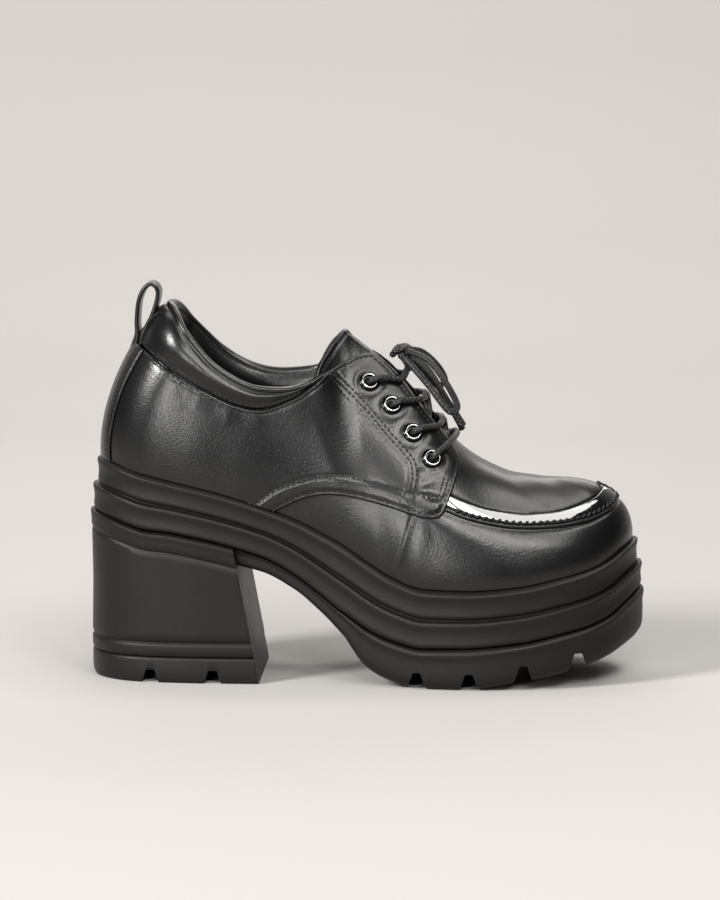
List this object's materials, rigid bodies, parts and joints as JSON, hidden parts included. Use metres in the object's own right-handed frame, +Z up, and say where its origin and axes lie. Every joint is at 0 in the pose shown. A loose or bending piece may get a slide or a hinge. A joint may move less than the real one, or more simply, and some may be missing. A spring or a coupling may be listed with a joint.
{
  "type": "lace-up platform shoe",
  "caption": "Black leather lace-up platform shoe with a block heel, padded collar, moc-toe apron, pull loop and lugged rubber sole.",
  "frame": {"origin": "on the floor, in the middle of the heel's flat bottom", "axes": "+X to the toe, +Y to the inner side of a right foot, +Z up"},
  "size_m": [0.2505, 0.0972, 0.1781],
  "materials": {
    "upper_leather": "smooth, semi-matte",
    "patent_leather": "patent, high gloss",
    "sole_rubber": "matte, finely speckled",
    "lining": "matte lining",
    "eyelet_metal": "gloss black",
    "lace_cord": "waxed round cord"
  },
  "bodies": {
    "root": {"upper": "upper_leather", "quarter_outer": "upper_leather", "quarter_inner": "upper_leather", "collar": "upper_leather", "backstay": "upper_leather", "tongue": "upper_leather", "apron_seam": "upper_leather", "pull_loop": "upper_leather", "apron_band": "patent_leather", "midsole": "sole_rubber", "heel_block": "sole_rubber", "heel_top_lift": "sole_rubber", "forepart_outsole": "sole_rubber", "insole": "lining", "eyelet_outer_1": "eyelet_metal", "eyelet_outer_2": "eyelet_metal", "eyelet_outer_3": "eyelet_metal", "eyelet_outer_4": "eyelet_metal", "eyelet_inner_1": "eyelet_metal", "eyelet_inner_2": "eyelet_metal", "eyelet_inner_3": "eyelet_metal", "eyelet_inner_4": "eyelet_metal", "lace_crossing_1": "lace_cord", "lace_crossing_2": "lace_cord", "lace_crossing_3": "lace_cord", "lace_bar": "lace_cord", "lace_knot": "lace_cord", "lace_loop_outer": "lace_cord", "lace_loop_inner": "lace_cord", "lace_end_outer": "lace_cord", "lace_end_inner": "lace_cord"}
  },
  "joints": []
}
